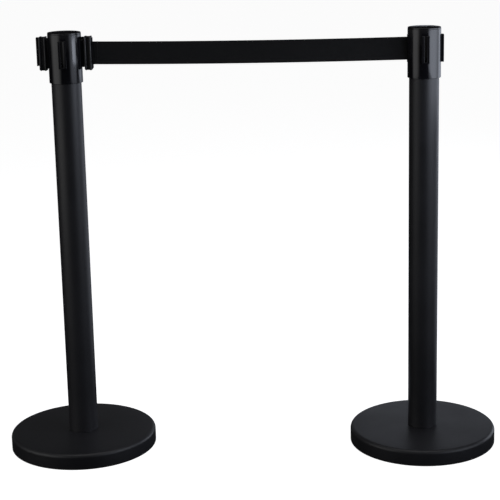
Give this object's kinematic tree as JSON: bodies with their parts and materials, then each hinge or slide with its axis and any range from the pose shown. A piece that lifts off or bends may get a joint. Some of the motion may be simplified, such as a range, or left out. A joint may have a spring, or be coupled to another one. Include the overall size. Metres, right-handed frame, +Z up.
{
  "type": "retractable belt stanchion pair",
  "caption": "Retractable belt barrier: black posts on round weighted bases with spring-wound belt heads, one belt drawn across and hooked into the other head.",
  "frame": {"origin": "on the floor, midway between the two post axes", "axes": "+X from the left post to the right post, +Y to the back, +Z up"},
  "size_m": [1.067, 0.317, 0.91],
  "materials": {
    "black_powder_coat": "satin",
    "black_abs": "gloss",
    "matt_plastic": "matt",
    "inner_plastic": "matt",
    "webbing": "matt",
    "floor_rubber": "matt",
    "cast_iron": "rough",
    "zinc_steel": "satin",
    "bare_steel": "satin",
    "spring_steel": "satin",
    "black_screws": "satin",
    "white_bush": "matt"
  },
  "bodies": {
    "right_post": {"right_floor_ring": "floor_rubber", "right_base_weight": "cast_iron", "right_base_cover": "black_powder_coat", "right_base_washer": "zinc_steel", "right_base_bolt": "zinc_steel", "right_foot_plug": "bare_steel", "right_post_tube": "black_powder_coat", "right_head_plug": "inner_plastic", "right_head_shell": "black_abs", "right_head_screws": "zinc_steel", "right_slot_bezel": "matt_plastic", "right_cassette_case": "inner_plastic", "right_cassette_lid": "inner_plastic", "right_cassette_screws": "zinc_steel", "right_guide_pin": "zinc_steel", "right_spool_shaft": "bare_steel", "right_shaft_clip": "spring_steel", "right_top_cap": "black_abs", "right_cap_screws": "black_screws", "right_belt_near_right": "webbing"},
    "right_spool": {"right_spool_bushes": "white_bush", "right_spool": "inner_plastic", "right_spool_flange": "inner_plastic", "right_power_spring": "spring_steel", "right_belt_roll": "webbing"},
    "left_post": {"left_floor_ring": "floor_rubber", "left_base_weight": "cast_iron", "left_base_cover": "black_powder_coat", "left_base_washer": "zinc_steel", "left_base_bolt": "zinc_steel", "left_foot_plug": "bare_steel", "left_post_tube": "black_powder_coat", "left_head_plug": "inner_plastic", "left_head_shell": "black_abs", "left_head_screws": "zinc_steel", "left_slot_bezel": "matt_plastic", "left_cassette_case": "inner_plastic", "left_cassette_lid": "inner_plastic", "left_cassette_screws": "zinc_steel", "left_guide_pin": "zinc_steel", "left_spool_shaft": "bare_steel", "left_shaft_clip": "spring_steel", "left_top_cap": "black_abs", "left_cap_screws": "black_screws", "left_belt": "webbing"},
    "left_spool": {"left_spool_bushes": "white_bush", "left_spool": "inner_plastic", "left_spool_flange": "inner_plastic", "left_power_spring": "spring_steel", "left_belt_roll": "webbing"},
    "right_clip": {"right_clip_hook": "matt_plastic", "right_clip_cover": "matt_plastic", "right_clip_pin": "zinc_steel", "right_clip_screws": "black_screws", "right_belt_near_left": "webbing"},
    "left_clip": {"left_clip_hook": "matt_plastic", "left_clip_cover": "matt_plastic", "left_clip_pin": "zinc_steel", "left_clip_screws": "black_screws"}
  },
  "joints": [
    {"name": "post_spacing", "type": "slide", "parent": "right_post", "child": "left_post", "axis": [-1, 0, 0], "range_m": [-0.4, 1.2], "deforming": ["right_belt_near_right"]},
    {"name": "right_spool_turn", "type": "hinge", "parent": "right_post", "child": "right_spool", "pos_m": [0.3775, -0.003, 0.866], "axis": [0, 0, 1], "range_deg": [-1230, 3685], "deforming": ["right_power_spring"]},
    {"name": "clip_lift", "type": "slide", "parent": "left_post", "child": "right_clip", "axis": [0, 0, 1], "range_m": [0, 0.06], "deforming": ["right_belt_near_left"]},
    {"name": "left_belt_pull", "type": "slide", "parent": "left_post", "child": "left_clip", "axis": [-1, 0, 0], "range_m": [0, 1.85], "stiffness_N_per_m": 1.5, "springref_m": -3, "deforming": ["left_belt"]},
    {"name": "left_spool_turn", "type": "hinge", "parent": "left_post", "child": "left_spool", "pos_m": [-0.3725, -0.003, 0.866], "axis": [0, 0, 1], "range_deg": [-5, 5520], "deforming": ["left_power_spring"]}
  ],
  "couplings": [
    {"joint": "right_spool_turn", "follows": "post_spacing", "rad_per_m": 53.5},
    {"joint": "left_spool_turn", "follows": "left_belt_pull", "rad_per_m": 52}
  ]
}
